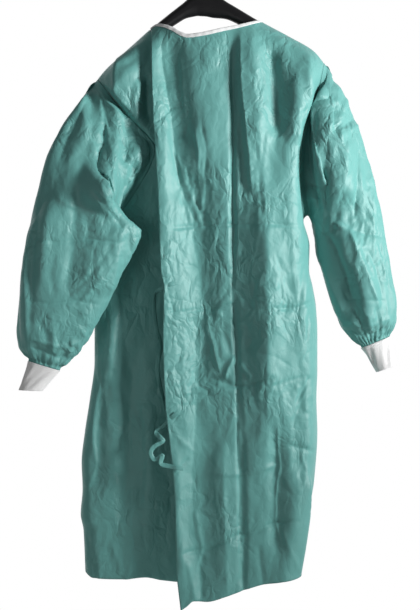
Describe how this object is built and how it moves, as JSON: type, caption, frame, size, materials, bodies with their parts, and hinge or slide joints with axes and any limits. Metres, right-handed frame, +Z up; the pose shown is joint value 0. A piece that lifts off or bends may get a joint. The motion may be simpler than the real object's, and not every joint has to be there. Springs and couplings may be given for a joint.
{
  "type": "surgical gown on a hanger",
  "caption": "Long-sleeved nonwoven surgical gown with knit cuffs and a lapped back opening, hung on a plastic hanger.",
  "frame": {"origin": "inner top of the hanger's hook, where the rail carries it", "axes": "+Z up along the hanging line, +Y out of the gown's front, -Y out of its back opening, +X to the right when the back is looked at"},
  "size_m": [0.8128, 0.2342, 1.4006],
  "materials": {
    "gown_cloth": "matt blue-green nonwoven",
    "tie_cloth": "matt blue-green nonwoven ribbon",
    "cuff_knit": "white ribbed knit",
    "neck_tape": "white folded tape",
    "hanger_plastic": "satin black",
    "hook_steel": "plated wire"
  },
  "bodies": {
    "root": {"hanger_body": "hanger_plastic", "hanger_hook": "hook_steel", "front": "gown_cloth", "back_right": "gown_cloth", "back_left": "gown_cloth", "sleeve_left": "gown_cloth", "sleeve_right": "gown_cloth", "cuff_left": "cuff_knit", "cuff_right": "cuff_knit", "binding_front": "neck_tape", "binding_back_right": "neck_tape", "binding_back_left": "neck_tape", "tie_upper": "tie_cloth", "tie_lower": "tie_cloth"}
  },
  "joints": []
}
